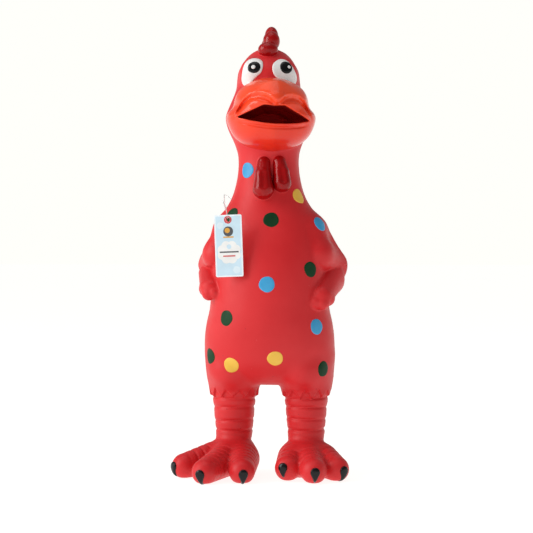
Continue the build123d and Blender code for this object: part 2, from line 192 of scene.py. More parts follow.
def trunk_field(points):
    """Torso, neck and head without limbs, as a stack of ellipses."""
    seen = turned(points)
    height = points[:, 2]
    half_width, half_depth = HALF_WIDTH(height), HALF_DEPTH(height)
    x, y = seen[:, 0] / half_width, (seen[:, 1] - MIDDLE(height)) / half_depth
    size = np.sqrt(x * x + y * y) + 1e-9
    slope = np.sqrt((x / half_width) ** 2 + (y / half_depth) ** 2) + 1e-9
    lean = (HALF_WIDTH(height + 0.5) - HALF_WIDTH(height - 0.5)) * x * x / size**2
    lean += (HALF_DEPTH(height + 0.5) - HALF_DEPTH(height - 0.5)) * y * y / size**2
    level = size * (size - 1) / slope / np.sqrt(1 + lean * lean)
    return smooth_max(smooth_max(level, 60.6 - height, 3.0), height - 270.0, 5.0)


UPPER_ARM = [  # rolls down the front, down the side, and across the elbow: ends and radii
    ((28.0, -6.0, 163.0), (32.9, -8.5, 147.0), 8.0, 10.0),
    ((28.6, 4.0, 161.5), (39.9, 12.0, 139.5), 9.8, 9.6),
    ((32.9, -8.5, 147.0), (39.9, 12.0, 139.5), 10.0, 9.6),
]
FOREARM = ((39.6, 5.0, 132.5), (36.8, -17.0, 122.5), 9.6, 7.2)
FINGERS = [  # tip and radius
    ((33.4, -21.0, 118.8), 4.6),
    ((37.4, -20.4, 118.0), 4.6),
    ((40.6, -14.5, 120.5), 4.4),
]
HAND_DROP = 3.0  # the left hand hangs this much lower and the right this much higher


def arm_field(points):
    """Both wings, held like arms with the hands on the hips."""
    side = np.sign(points[:, 0])
    lowered = points.copy()
    lowered[:, 0] = np.abs(points[:, 0])
    lowered[:, 2] += HAND_DROP * side * smooth_step(142, 122, points[:, 2])
    front, outer, elbow = (ball_cone(lowered, *roll) for roll in UPPER_ARM)
    arm = smooth_min(smooth_min(front, outer, 8.0), elbow, 4.0)
    arm = smooth_min(arm, ball_cone(lowered, *FOREARM), 1.2)
    fingers = []
    for tip, radius in FINGERS:
        start = np.array(FOREARM[1]) * 0.7 + np.array(tip) * 0.3
        fingers.append(ball_cone(lowered, start, tip, 5.6, radius))
    return smooth_min(arm, merged(fingers, 0.8), 2.2)


RING_HEIGHTS = {1: (52.0, 45.9, 38.5, 31.2), -1: (51.5, 45.3, 36.9, 30.4)}
SHANK_RADIUS = Profile(
    [20, 23, 26, 30, 34, 38, 42, 46, 50, 54, 58],
    [12.6, 12.0, 12.0, 12.3, 12.5, 13.1, 13.3, 13.6, 14.2, 14.7, 15.2],
    1.0,
)
HEM_Z, HEM_TEETH, HEM_DEPTH, HEM_STEP = 55.4, 12, 5.7, 1.5


def leg_field(points, side):
    """One leg from inside the thigh down to the ankle, on the given side."""
    x, y, z = points[:, 0] - side * LEG_X, points[:, 1], points[:, 2]
    angle = np.arctan2(x * side, -y)
    radius = SHANK_RADIUS(z)
    for index, ring in enumerate(RING_HEIGHTS[side]):
        height = z - ring - 0.5 * np.sin(angle + 1.7 * index)
        radius = radius - 0.95 * bump(height, 1.0) * (0.75 + 0.25 * np.sin(2.3 * angle + index))
    radius = radius - 0.9 * bump(z - 23.0, 1.6)
    turn = angle * HEM_TEETH / (2 * pi) + 0.25
    tooth = np.abs(2 * (turn - np.floor(turn + 0.5)))
    ragged = 0.25 * np.sin(3 * angle + side) + 1
    hem = HEM_Z + HEM_DEPTH * (tooth - 0.5) * ragged
    radius = radius + HEM_STEP * smooth_step(-0.9, 0.5, z - hem)
    thigh = smooth_step(56, 66, z)
    width = radius + 1.2 * thigh
    depth = radius + 2.2 * thigh
    size = np.sqrt((x / width) ** 2 + (y / depth) ** 2)
    return smooth_max((size - 1) * width, z - 84.0, 6.0)


TOES = {  # inner, middle, outer: degrees outward, length to the round tip, tip and claw height
    1: [(-15.5, 30.0, 8.6, 8.6), (15.0, 38.0, 8.0, 6.8), (46.0, 31.5, 7.6, 6.0)],
    -1: [(-16.5, 44.5, 7.6, 5.4), (12.0, 50.0, 7.6, 5.6), (50.0, 37.5, 7.8, 7.0)],
}
TOE_ROOTS = [(-4.5, 11.6), (0.5, 11.4), (5.5, 11.2)]  # how far outward of the ankle, and radius
TOE_ROOT_OUT, TOE_ROOT_Z, TOE_TIP_RADIUS = 8.0, 11.4, 8.4


def toe_direction(side, toe):
    angle = radians(TOES[side][toe][0])
    return np.array([side * sin(angle), -cos(angle), 0.0])


def foot_field(points, side):
    ankle = np.array([side * LEG_X, 0.0, 0.0])
    toes = []
    for toe, (_, length, tip_z, _) in enumerate(TOES[side]):
        direction = toe_direction(side, toe)
        aside, root_radius = TOE_ROOTS[toe]
        root = ankle + direction * TOE_ROOT_OUT + (side * aside, 0, TOE_ROOT_Z)
        tip = ankle + direction * length + (0, 0, tip_z)
        shape = ball_cone(points, root, tip, root_radius, TOE_TIP_RADIUS)
        along = (points - ankle) @ direction
        crease_at = (along - 13.5 + toe) % 5.6 - 2.8
        upper = smooth_step(3, 8, points[:, 2]) * smooth_step(11, 15, along)
        upper = upper * smooth_step(length + 1, length - 4, along)
        toes.append(shape + 0.55 * bump(crease_at, 0.75) * upper)
    heel = ellipsoid(points, ankle + (0, 9.5, 9.3), (11.4, 12.0, 11.0))
    instep = ellipsoid(points, ankle + (0, -6.0, 14.5), (14.6, 16.0, 11.0))
    return smooth_min(merged(toes, 2.2), smooth_min(heel, instep, 5.0), 3.5)


COMB_LOBES = [  # centres and radii, from the front to the back
    ((-1.6, -12.0, 281.0), (6.6, 6.0, 5.2)),
    ((1.4, -5.0, 287.6), (5.6, 6.2, 6.6)),
    ((2.4, 3.6, 291.4), (4.6, 6.0, 6.9)),
    ((0.6, 12.5, 284.0), (4.4, 6.8, 8.6)),
]
COMB_BASE = (0.0, 0.5, 277.0), (4.6, 15.0, 9.0)


def comb_field(points):
    seen = head_turned(points)
    lobes = merged([ellipsoid(seen, *lobe) for lobe in COMB_LOBES], 1.2)
    return smooth_min(lobes, ellipsoid(seen, *COMB_BASE), 2.0)


WATTLES = {  # centres and radii down each lobe, on a head that looks straight ahead
    "right": [((-5.8, -17.5, 206.5), 4.3), ((-6.8, -20.3, 198.5), 5.3), ((-6.7, -21.8, 189.4), 7.0)],
    "left": [((4.2, -17.5, 207.0), 4.4), ((5.2, -19.8, 200.0), 5.2), ((5.6, -21.0, 193.2), 6.1)],
}
DENTS = {  # the hollow down the front of each lobe
    "right": ((-7.4, -27.4, 200.0), (-7.4, -30.2, 192.0), 2.4, 2.6),
    "left": ((4.8, -25.9, 204.0), (6.0, -28.2, 195.5), 2.4, 2.6),
}


def wattle_field(points, name):
    points = head_turned(points + (HEAD_LEAN, 0, 0))
    parts = []
    for (start, start_radius), (end, end_radius) in zip(WATTLES[name], WATTLES[name][1:]):
        parts.append(ball_cone(points, start, end, start_radius, end_radius))
    return smooth_max(merged(parts, 1.0), -ball_cone(points, *DENTS[name]), 1.6)


# The mouth's outline, seen from the front: the heights of its edges at points across it.
MOUTH_TILT = -0.045
UPPER_LIP = Profile(
    [-24.5, -23, -13, -7.4, -1, 5.8, 12, 23, 24.5],
    [233.0, 234.8, 239.6, 242.4, 241.9, 242.5, 239.8, 234.8, 233.0],
    0.7,
)
LOWER_LIP = Profile(
    [-24.5, -23, -15, -6, 0, 8, 16, 23, 24.5],
    [235.8, 234.1, 232.2, 231.0, 230.8, 231.2, 232.3, 234.1, 235.8],
    0.7,
)
FOLD_HEIGHT = Profile(
    [0, 2, 6, 11, 16, 20, 23, 26], [243.0, 244.2, 247.4, 248.7, 247.8, 244.8, 240.4, 235.0], 0.8
)
MOUTH_BACK = -8.0


def mouth_field(points, grow=0.0):
    """The mouth's hollow."""
    seen = head_turned(points)
    x, y, z = seen[:, 0], seen[:, 1], seen[:, 2] - MOUTH_TILT * seen[:, 0]
    narrowing = 1 - 0.45 * smooth_step(-24, MOUTH_BACK, y)
    high = 236.5 + (UPPER_LIP(x / narrowing) - 236.5) * narrowing
    low = 235.5 + (LOWER_LIP(x / narrowing) - 235.5) * narrowing
    slit = np.maximum(z - high, low - z) * 0.85
    return smooth_max(slit, y - MOUTH_BACK, 2.0) - grow


def beak_field(points):
    """Both halves of the beak, with the lips' folds and the mouth cut in."""
    seen = head_turned(points)
    x, y, z = seen[:, 0], seen[:, 1], seen[:, 2]
    dome = ellipsoid(seen, (0.0, -15.0, 244.5), (24.2, 28.5, 17.0))
    point = ball_cone(seen, (0.6, -34.0, 249.5), (0.9, -41.0, 246.0), 8.0, 3.6)
    upper = smooth_min(dome, point, 6.0)
    lips = ellipsoid(seen, (0.2, -13.0, 236.3), (28.8, 28.0, 12.5))
    lower = ellipsoid(seen, (0.6, -12.0, 234.5), (28.3, 26.4, 20.9))
    lower = smooth_max(lower, z - 238.0, 3.0) - 0.5 * bump(x, 4.0) * smooth_step(236, 228, z)
    beak = smooth_min(upper, smooth_min(lips, lower, 3.0), 3.0)
    level = z - MOUTH_TILT * x
    above = level - FOLD_HEIGHT(np.abs(x - 0.8))
    frontal = smooth_step(-14, -20, y)
    fading = smooth_step(27, 20, np.abs(x))
    fold = 1.9 * bump(above + 1.2, 2.0) - 0.8 * smooth_step(-0.6, 2.4, above)
    beak = beak + fold * frontal * fading
    rim = level - LOWER_LIP(x) + 2.6
    beak = beak + 0.9 * bump(rim, 1.0) * frontal * smooth_step(24, 18, np.abs(x))
    return beak


def cut_beak_field(points):
    return smooth_max(beak_field(points), -mouth_field(points), 1.0)


def brow_field(points):
    """The two swellings that carry the eyes."""
    seen = head_turned(points)
    left = ellipsoid(seen, (8.8, -9.5, 265.8), (8.4, 9.6, 10.2))
    right = ellipsoid(seen, (-11.2, -9.5, 265.8), (8.4, 9.6, 10.2))
    return np.minimum(left, right)


CROWN = (0, 0.8, 262), (19.8, 21.2, 21.6)  # centres and radii
THIGH = (23.5, -6.0, 72.0), (17.5, 20.5, 17.0)


def skin_field(points):
    """The whole latex skin."""
    z = points[:, 2]
    field = np.full(len(points), 1e3)
    high = z > 190
    if high.any():
        part = points[high]
        crown = ellipsoid(turned(part), *CROWN)
        head = smooth_min(trunk_field(part), crown, 3.0)
        head = smooth_min(head, brow_field(part), 3.5)
        head = smooth_min(head, beak_field(part) + 1.4, 3.0)
        head = smooth_min(head, comb_field(part) + 1.2, 2.5)
        for name in WATTLES:
            head = smooth_min(head, wattle_field(part, name) + 1.6, 3.0)
        field[high] = smooth_max(head, -mouth_field(part, 1.0), 1.0)
    if (~high).any():
        part = points[~high]
        body = trunk_field(part)
        for side in (1, -1):
            thigh = ellipsoid(part * (side, 1, 1), *THIGH)
            body = smooth_min(body, thigh, 3.0)
        shoulder = smooth_step(146, 166, part[:, 2])
        body = smooth_min(body, arm_field(part), 1.8 + 4.0 * shoulder)
        for name in WATTLES:
            body = smooth_min(body, wattle_field(part, name) + 1.6, 3.0)
        body = smooth_min(body, tail_field(part), 3.0)
        for side in (1, -1):
            leg = smooth_min(leg_field(part, side), foot_field(part, side), 4.0)
            body = smooth_min(body, leg, 3.4)
        field[~high] = smooth_max(body, -part[:, 2], 1.6)
    return field - parting_line(points)


TAIL_ROOT = (0, 25.0, 88.0)
TAIL_TIPS = [(-6.5, 36.0, 95.5), (0.0, 38.0, 99.5), (6.5, 36.0, 95.5)]


def tail_field(points):
    return merged([ball_cone(points, TAIL_ROOT, tip, 8.0, 3.4) for tip in TAIL_TIPS], 1.0)


def parting_line(points):
    """The thin flash line where the two halves of the mould met, round both sides."""
    x, y, z = np.abs(points[:, 0]), points[:, 1], points[:, 2]
    middle = 1.5 + 8.0 * bump(z - 141, 22.0) * smooth_step(34, 44, x)
    sides = smooth_step(6, 10, x) * smooth_step(26, 30, z)
    return 0.28 * bump(y - middle, 0.8) * sides


# ---- From a field to a mesh ----
def surface_net(field, low, high, cell):
    """Corners and four-sided faces of the surface where the field is zero."""
    axes = [np.arange(a, b + cell, cell) for a, b in zip(low, high)]
    values = sampled(field, axes, cell)
    inside = values < 0
    cells = tuple(len(axis) - 1 for axis in axes)
    total, count = np.zeros((np.prod(cells), 3)), np.zeros(np.prod(cells))
    quads = []
    for axis in range(3):
        at = np.argwhere(np.diff(inside, axis=axis))
        one, two = (axis + 1) % 3, (axis + 2) % 3
        keep = (at[:, one] > 0) & (at[:, two] > 0)
        keep &= (at[:, one] < cells[one]) & (at[:, two] < cells[two])
        at = at[keep]
        ahead = at.copy()
        ahead[:, axis] += 1
        near, far = values[tuple(at.T)], values[tuple(ahead.T)]
        crossing = at.astype(float)
        crossing[:, axis] += near / (near - far)
        ring = []
        for step_one, step_two in ((0, 0), (-1, 0), (-1, -1), (0, -1)):
            around = at.copy()
            around[:, one] += step_one
            around[:, two] += step_two
            index = np.ravel_multi_index(tuple(around.T), cells)
            ring.append(index)
            count += np.bincount(index, minlength=len(count))
            for part in range(3):
                total[:, part] += np.bincount(index, crossing[:, part], len(count))
        ring = np.stack(ring, axis=1)
        outward = near < far
        ring[~outward] = ring[~outward][:, ::-1]
        quads.append(ring)
    quads = np.concatenate(quads)
    used, faces = np.unique(quads, return_inverse=True)
    corners = total[used] / count[used][:, None] * cell + [axis[0] for axis in axes]
    return corners, faces.reshape(-1, 4)


def sampled(field, axes, cell):
    """The field on a grid, worked out in full only near the surface."""
    skip, batch = 4, 400_000
    coarse = np.stack(np.meshgrid(*[axis[::skip] for axis in axes], indexing="ij"), axis=-1)
    values = field(coarse.reshape(-1, 3)).reshape(coarse.shape[:3])
    for number, axis in enumerate(axes):
        values = np.repeat(values, skip, axis=number).take(np.arange(len(axis)), axis=number)
    near = np.abs(values) < 2.2 * skip * cell
    points = np.stack([axis[part] for axis, part in zip(axes, np.nonzero(near))], axis=1)
    starts = range(0, len(points), batch)
    values[near] = np.concatenate([field(points[start:start + batch]) for start in starts])
    return values


def gradient(field, points, step=0.15):
    rises = [field(points + offset) - field(points - offset) for offset in np.eye(3) * step]
    return np.stack(rises, axis=1) / (2 * step)


def pulled_to_surface(field, points, cell):
    for _ in range(2):
        slope = gradient(field, points)
        size = np.sum(slope * slope, axis=1) + 1e-9
        move = -(field(points) / size)[:, None] * slope
        length = np.linalg.norm(move, axis=1) + 1e-12
        points = points + move * np.minimum(1, 0.5 * cell / length)[:, None]
    return points


def placed(points):
    return (np.asarray(points, float) + (0, BODY_Y, 0)) * MM


def unplaced(points):
    return np.asarray(points, float) / MM - (0, BODY_Y, 0)


def added(name, data):
    obj = bpy.data.objects.new(name, data)
    bpy.context.scene.collection.objects.link(obj)
    return obj


@contextmanager
def edited(mesh):
    """A mesh opened for changes, which are written back at the end."""
    work = bmesh.new()
    work.from_mesh(mesh)
    yield work
    work.to_mesh(mesh)
    work.free()


def new_object(name, corners, faces, material):
    """A mesh object from corners in millimetres about the body's axis."""
    mesh = bpy.data.meshes.new(name)
    mesh.from_pydata(placed(corners).tolist(), [], [list(face) for face in faces])
    mesh.validate()
    mesh.materials.append(material)
    mesh.shade_smooth()
    return added(name, mesh)


def section(name, whole, low_z, high_z, material, field):
    """The part of a mesh between two heights, closed by flat faces at its cuts."""
    mesh = whole.data.copy()
    mesh.name = name
    obj = added(name, mesh)
    cuts = [(height, up) for height, up in ((low_z, -1), (high_z, 1)) if height is not None]
    with edited(mesh) as work:
        for height, up in cuts:
            cut_flat(work, height, up)
    mesh.materials.clear()
    mesh.materials.append(material)
    set_normals(obj, field)
    return obj


def cut_flat(work, height, up):
    """Removes what is beyond a height, above it if up is 1 and below it if -1, and closes the cut."""
    everything = work.verts[:] + work.edges[:] + work.faces[:]
    cut = bmesh.ops.bisect_plane(
        work, geom=everything, plane_co=(0, 0, height * MM), plane_no=(0, 0, up),
        clear_outer=True, dist=1e-7,
    )
    edges = [item for item in cut["geom_cut"] if isinstance(item, bmesh.types.BMEdge)]
    for cap in bmesh.ops.holes_fill(work, edges=edges, sides=0)["faces"]:
        cap.smooth = False
        if cap.normal.z * up < 0:
            cap.normal_flip()


def set_normals(obj, field):
    """Shades the mesh by the field's own direction, and its cut faces flat."""
    mesh = obj.data
    points = np.empty(len(mesh.vertices) * 3)
    mesh.vertices.foreach_get("co", points)
    slopes = gradient(field, unplaced(points.reshape(-1, 3)))
    slopes /= np.linalg.norm(slopes, axis=1)[:, None] + 1e-9
    corners = np.empty(len(mesh.loops), int)
    mesh.loops.foreach_get("vertex_index", corners)
    normals = slopes[corners]
    for polygon in mesh.polygons:
        if abs(polygon.normal.z) > 0.999 and len(polygon.vertices) > 4:
            normals[polygon.loop_start:polygon.loop_start + polygon.loop_total] = polygon.normal
    mesh.normals_split_custom_set(normals.tolist())


def from_field(name, field, low, high, cell, material):
    corners, faces = surface_net(field, low, high, cell)
    return new_object(name, pulled_to_surface(field, corners, cell), faces, material)


# ---- Painted patches: thin domes that lie on the skin ----
def circle_outline(radius):
    return lambda angle: np.full_like(angle, radius)


def tear_outline(start, end, start_radius, end_radius):
    """The outline round two circles and what lies between them, about the origin."""
    def reach(angle):
        best = np.zeros_like(angle)
        ray = np.stack([np.cos(angle), np.sin(angle)], axis=1)
        for share in np.linspace(0, 1, 24):
            centre = np.array(start) * (1 - share) + np.array(end) * share
            radius = start_radius * (1 - share) + end_radius * share
            along = ray @ centre
            inner = radius**2 - centre @ centre + along**2
            best = np.maximum(best, np.where(inner > 0, along + np.sqrt(np.maximum(inner, 0)), 0))
        return best
    return reach


PATCH_SHARES = [0.25, 0.5, 0.72, 0.86, 0.94, 0.985, 1.0]  # rings, as shares of the way to the edge
PATCH_LIFTS = [1.0, 1.0, 0.98, 0.9, 0.7, 0.35, -0.15]  # their heights, as shares of the thickness
PATCH_DEPTH = 0.9  # from a patch's top to its underside inside the skin


def patch(name, field, centre, toward, outline, thickness, material, spokes, wobble=0.0):
    """A domed pad of paint on the field's surface, looked at along toward."""
    toward = np.array(toward, float) / np.linalg.norm(toward)
    across = np.cross((0, 0, 1), toward)
    across /= np.linalg.norm(across)
    upward = np.cross(toward, across)
    angles = np.arange(spokes) * 2 * pi / spokes
    reach = outline(angles)
    seed = sum(ord(letter) for letter in name)
    reach = reach * (1 + wobble * np.sin(3 * angles + seed) + 0.6 * wobble * np.sin(5 * angles + 2 * seed))
    flat = [np.zeros((1, 2))]
    lift = [np.array([thickness])]
    for share, height in zip(PATCH_SHARES, PATCH_LIFTS):
        flat.append(np.stack([np.cos(angles), np.sin(angles)], axis=1) * (reach * share)[:, None])
        lift.append(np.full(spokes, height * thickness))
    flat, lift = np.concatenate(flat), np.concatenate(lift)
    points = np.array(centre, float) + flat[:, :1] * across + flat[:, 1:] * upward + toward * 6.0
    points = dropped_onto(field, points, toward, lift)
    corners = np.concatenate([points, points - toward * PATCH_DEPTH])
    return new_object(name, corners, patch_faces(len(points), spokes), material)


def dropped_onto(field, points, toward, lift):
    """Points moved back along toward, then straight down the field, to the given heights."""
    for _ in range(14):
        points = points - toward * np.clip((field(points) - lift) * 0.8, -2, 2)[:, None]
    for _ in range(6):
        slope = gradient(field, points)
        size = np.sum(slope * slope, axis=1) + 1e-9
        points = points - ((field(points) - lift) / size)[:, None] * slope
    return points


def patch_faces(top, spokes):
    """The faces of a patch's two sides and its rim, when each side has top corners."""
    faces = []
    rings = len(PATCH_SHARES)
    for layer, turn in ((0, 1), (top, -1)):
        for spoke in range(spokes):
            after = (spoke + 1) % spokes
            faces.append([layer, layer + 1 + spoke, layer + 1 + after][::turn])
            for ring in range(rings - 1):
                a = layer + 1 + ring * spokes
                b = a + spokes
                faces.append([a + spoke, b + spoke, b + after, a + after][::turn])
    edge = 1 + (rings - 1) * spokes
    for spoke in range(spokes):
        after = (spoke + 1) % spokes
        faces.append([edge + spoke, top + edge + spoke, top + edge + after, edge + after])
    return faces


def joined(name, objects):
    """One object out of several that share a material."""
    first, *others = objects
    with edited(first.data) as work:
        for obj in others:
            work.from_mesh(obj.data)
    first.data.shade_smooth()
    for obj in others:
        bpy.data.objects.remove(obj)
    first.name = name
    return first


# ---- Materials ----
def new_material(name):
    material = bpy.data.materials.new(name)
    material.use_nodes = True
    tree = material.node_tree
    return material, tree, tree.nodes["Principled BSDF"]


def feed(tree, node, inputs):
    """Sets a node's inputs, each to a plain value or to another node's output."""
    for name, value in inputs.items():
        if isinstance(value, bpy.types.NodeSocket):
            tree.links.new(value, node.inputs[name])
        else:
            node.inputs[name].default_value = value


def add_node(tree, kind, inputs):
    node = tree.nodes.new(f"ShaderNode{kind}")
    feed(tree, node, inputs)
    return node


def object_place(tree):
    return tree.nodes.new("ShaderNodeTexCoord").outputs["Object"]


def mapped(tree, value, start, end, low=0.0, high=1.0):
    """A value carried from the span between start and end to the span between low and high."""
    node = add_node(tree, "MapRange", {
        "Value": value, "From Min": start, "From Max": end, "To Min": low, "To Max": high,
    })
    return node.outputs["Result"]


def along_axis(tree, axis, start, end):
    """From 0 to 1 between two places along one of the object's axes, in metres."""
    split = add_node(tree, "SeparateXYZ", {"Vector": object_place(tree)})
    return mapped(tree, split.outputs[axis], start, end)


def noise(tree, scale, detail):
    texture = add_node(tree, "TexNoise", {"Vector": object_place(tree), "Scale": scale, "Detail": detail})
    return texture.outputs["Fac"]


def uneven(tree, scale, detail, low, high):
    """A noise that wanders between low and high."""
    return mapped(tree, noise(tree, scale, detail), 0.3, 0.7, low, high)


def specks(tree, scale, size):
    """White specks of the given share of a cell, scattered on black."""
    texture = add_node(tree, "TexVoronoi", {"Vector": object_place(tree), "Scale": scale})
    return mapped(tree, texture.outputs["Distance"], size, size * 0.5)


def ramp(tree, value, stops):
    node = add_node(tree, "ValToRGB", {"Fac": value})
    elements = node.color_ramp.elements
    while len(elements) < len(stops):
        elements.new(0.5)
    for element, (position, colour) in zip(elements, stops):
        element.position = position
        element.color = (*colour, 1)
    return node.outputs["Color"]


def mixed(tree, share, first, second, blend="MIX"):
    """The first colour turning into the second where share is high."""
    node = tree.nodes.new("ShaderNodeMix")
    node.data_type = "RGBA"
    node.blend_type = blend
    feed(tree, node, {"Factor": share, "A": first, "B": second})
    return node.outputs["Result"]


def bumped(tree, heights):
    """A chain of bumps, each a height output with its strength and depth in metres."""
    before = {}
    for height, strength, depth in heights:
        inputs = {"Height": height, "Strength": strength, "Distance": depth}
        node = add_node(tree, "Bump", inputs | before)
        before = {"Normal": node.outputs["Normal"]}
    return before["Normal"]


def latex_skin():
    material, tree, shader = new_material("latex_skin")
    base = ramp(tree, noise(tree, 28, 3), [(0.3, (0.61, 0.014, 0.018)), (0.7, (0.68, 0.022, 0.026))])
    dark = specks(tree, 110, 0.04)
    pale = specks(tree, 150, 0.03)
    colour = mixed(tree, dark, base, (0.30, 0.008, 0.012, 1))
    feed(tree, shader, {
        "Base Color": mixed(tree, pale, colour, (0.80, 0.22, 0.22, 1)),
        "Roughness": uneven(tree, 90, 4, 0.40, 0.54),
        "IOR": 1.5, "Specular IOR Level": 0.32,
        "Sheen Weight": 0.03, "Sheen Roughness": 0.4, "Sheen Tint": (1.0, 0.6, 0.6, 1),
        "Normal": bumped(tree, [
            (noise(tree, 75, 4), 0.35, 0.0004),
            (noise(tree, 1400, 2), 0.25, 0.00008),
            (dark, 0.5, -0.00015),
        ]),
    })
    return material


def gloss_paint(name, low, high, roughness, coat, unevenness, specular):
    """Brushed-on glossy latex paint that varies between two colours."""
    material, tree, shader = new_material(name)
    feed(tree, shader, {
        "Base Color": ramp(tree, noise(tree, 70, 3), [(0.32, low), (0.68, high)]),
        "Roughness": uneven(tree, 160, 3, roughness * 0.75, roughness * 1.25),
        "IOR": 1.5, "Specular IOR Level": specular, "Coat Weight": coat, "Coat Roughness": 0.08,
        "Normal": bumped(tree, [
            (noise(tree, 130, 3), unevenness, 0.00035),
            (noise(tree, 700, 2), unevenness * 0.4, 0.00008),
        ]),
    })
    return material


def beak_paint():
    """Orange-red lacquer, coloured darker and redder low down as painted shade and lighter and more orange
    on top as painted light.
    """
    material, tree, shader = new_material("beak_paint")
    # Painted shade and light: the colour runs from dark red at the bottom of the beak, where shade falls,
    # to bright orange at the top, which faces the light.
    height = along_axis(tree, "Z", 0.212, 0.262)
    wavering = add_node(tree, "Math", {0: height, 1: uneven(tree, 45, 3, -0.16, 0.16)})
    wavering.operation = "ADD"
    feed(tree, shader, {
        "Base Color": ramp(tree, wavering.outputs["Value"], [
            (0.05, (0.74, 0.024, 0.012)),
            (0.45, (0.85, 0.050, 0.016)),
            (0.95, (0.93, 0.085, 0.026)),
        ]),
        "Roughness": uneven(tree, 120, 3, 0.16, 0.26),
        "Specular IOR Level": 0.25, "Coat Weight": 0.2, "Coat Roughness": 0.12,
        "Normal": bumped(tree, [
            (noise(tree, 110, 3), 0.3, 0.0004),
            (noise(tree, 600, 2), 0.15, 0.00008),
        ]),
    })
    return material


def mouth_paint():
    """Flat maroon with painted light: brighter deep inside, where shade falls, and darker at the lips,
    which get more light, so the pocket looks evenly dark.
    """
    material, tree, shader = new_material("mouth_paint")
    feed(tree, shader, {
        # Painted light: the colour is raised deep in the pocket to offset the shade there, and lowered at
        # the lips, which get more light.
        "Base Color": ramp(tree, along_axis(tree, "Y", -0.034, -0.006), [
            (0.0, (0.08, 0.0004, 0.0006)),
            (0.5, (0.22, 0.0010, 0.0012)),
            (1.0, (0.42, 0.0016, 0.0020)),
        ]),
        "Roughness": uneven(tree, 120, 3, 0.6, 0.75),
        "Specular IOR Level": 0.1,
        "Normal": bumped(tree, [(noise(tree, 160, 3), 0.15, 0.0002)]),
    })
    return material


def plain_plastic(name, colour, roughness):
    material, tree, shader = new_material(name)
    tone = tuple(min(1, part * 1.06) for part in colour)
    feed(tree, shader, {
        "Base Color": ramp(tree, noise(tree, 200, 2), [(0.3, colour), (0.7, tone)]),
        "Roughness": roughness,
        "Normal": bumped(tree, [(noise(tree, 900, 2), 0.2, 0.00006)]),
    })
    return material


def clear_nylon():
    material, tree, shader = new_material("clear_nylon")
    feed(tree, shader, {
        "Base Color": (0.96, 0.97, 0.98, 1), "Transmission Weight": 0.9, "IOR": 1.4,
        "Roughness": uneven(tree, 300, 2, 0.12, 0.22),
    })
    return material


def paper_print(name, colour):
    material, tree, shader = new_material(name)
    tone = tuple(part * 0.93 for part in colour)
    feed(tree, shader, {
        "Base Color": ramp(tree, noise(tree, 150, 2), [(0.35, tone), (0.65, colour)]),
        "Roughness": 0.35, "Coat Weight": 0.25, "Coat Roughness": 0.2,
        "Normal": bumped(tree, [(noise(tree, 2500, 2), 0.15, 0.00003)]),
    })
    return material


SKIN = latex_skin()
BEAK = beak_paint()
COMB = gloss_paint("comb_paint", (0.27, 0.001, 0.002), (0.38, 0.002, 0.003), 0.2, 0.15, 0.15, 0.2)
MOUTH = mouth_paint()
WHITE = gloss_paint("eye_paint", (0.76, 0.76, 0.75), (0.84, 0.84, 0.83), 0.3, 0.3, 0.2, 0.4)
BLACK = gloss_paint("black_paint", (0.002, 0.002, 0.003), (0.006, 0.006, 0.007), 0.14, 0.2, 0.25, 0.2)
DOT_PAINT = {
    "yellow": gloss_paint("yellow_paint", (0.78, 0.46, 0.050), (0.88, 0.55, 0.080), 0.45, 0.05, 0.4, 0.35),
    "green": gloss_paint("green_paint", (0.003, 0.034, 0.010), (0.008, 0.052, 0.018), 0.45, 0.0, 0.4, 0.15),
    "blue": gloss_paint("blue_paint", (0.035, 0.31, 0.60), (0.065, 0.39, 0.70), 0.4, 0.05, 0.4, 0.3),
}
PLASTIC = plain_plastic("white_plastic", (0.78, 0.78, 0.76), 0.45)
FILM = plain_plastic("reed_film", (0.70, 0.73, 0.75), 0.2)
NYLON = clear_nylon()


# ---- Placing helpers ----
def attach(obj, body, slot, *nodes):
    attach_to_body(obj, body)
    if nodes:
        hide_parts(*nodes)


def dress(node, material):
    """A new material for a CAD solid that keeps its shape."""
    obj = frame["nodes"][node]
    obj.data.materials.clear()
    obj.data.materials.append(material)


def axis_point(y, z):
    return (0, (y + BODY_Y) * MM, z * MM)


BELLY_START, BELLY_END = axis_point(-25, 120), axis_point(-38, 120)
NECK_START, NECK_END = axis_point(0, NECK_LOW_Z), axis_point(0, NECK_HIGH_Z)


def follow_belly(obj, slot, *nodes):
    """Bakes the piece's placing into its mesh and hides the CAD parts that it stands for."""
    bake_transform(obj)
    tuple(BELLY_START)
    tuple(BELLY_END)
    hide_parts(*nodes)


def follow_neck(obj, slot, *nodes):
    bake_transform(obj)
    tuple(NECK_START)
    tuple(NECK_END)
    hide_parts(*nodes)


# ---- The camera and the hang tag's loop ----
PHOTO_AZIMUTH = radians(9.0)
CAMERA_DISTANCE, CAMERA_HEIGHT = 1100.0, 150.0
LOOK_HEIGHT, LOOK_RIGHT = 138.6, -2.3
FIELD_WIDTH = 354.4  # what the picture spans at the body's axis
SENSOR = 36.0
VIEW_RIGHT = np.array([cos(PHOTO_AZIMUTH), sin(PHOTO_AZIMUTH), 0])
VIEW_BACK = np.array([sin(PHOTO_AZIMUTH), -cos(PHOTO_AZIMUTH), 0])
CAMERA_SPOT = VIEW_RIGHT * LOOK_RIGHT + VIEW_BACK * CAMERA_DISTANCE + (0, 0, CAMERA_HEIGHT)


def aimed(obj, place, target):
    obj.location = tuple(place)
    run = np.subtract(target, place).tolist()
    obj.rotation_euler = Vector(run).to_track_quat("-Z", "Y").to_euler()


def make_camera():
    target = placed(VIEW_RIGHT * LOOK_RIGHT + (0, 0, LOOK_HEIGHT))
    spot = placed(CAMERA_SPOT)
    data = bpy.data.cameras.new("camera")
    data.sensor_width = SENSOR
    data.lens = SENSOR * CAMERA_DISTANCE / FIELD_WIDTH
    data.clip_start, data.clip_end = 0.01, 20
    camera = added("camera", data)
    aimed(camera, spot, target)
    bpy.context.scene.camera = camera


make_camera()

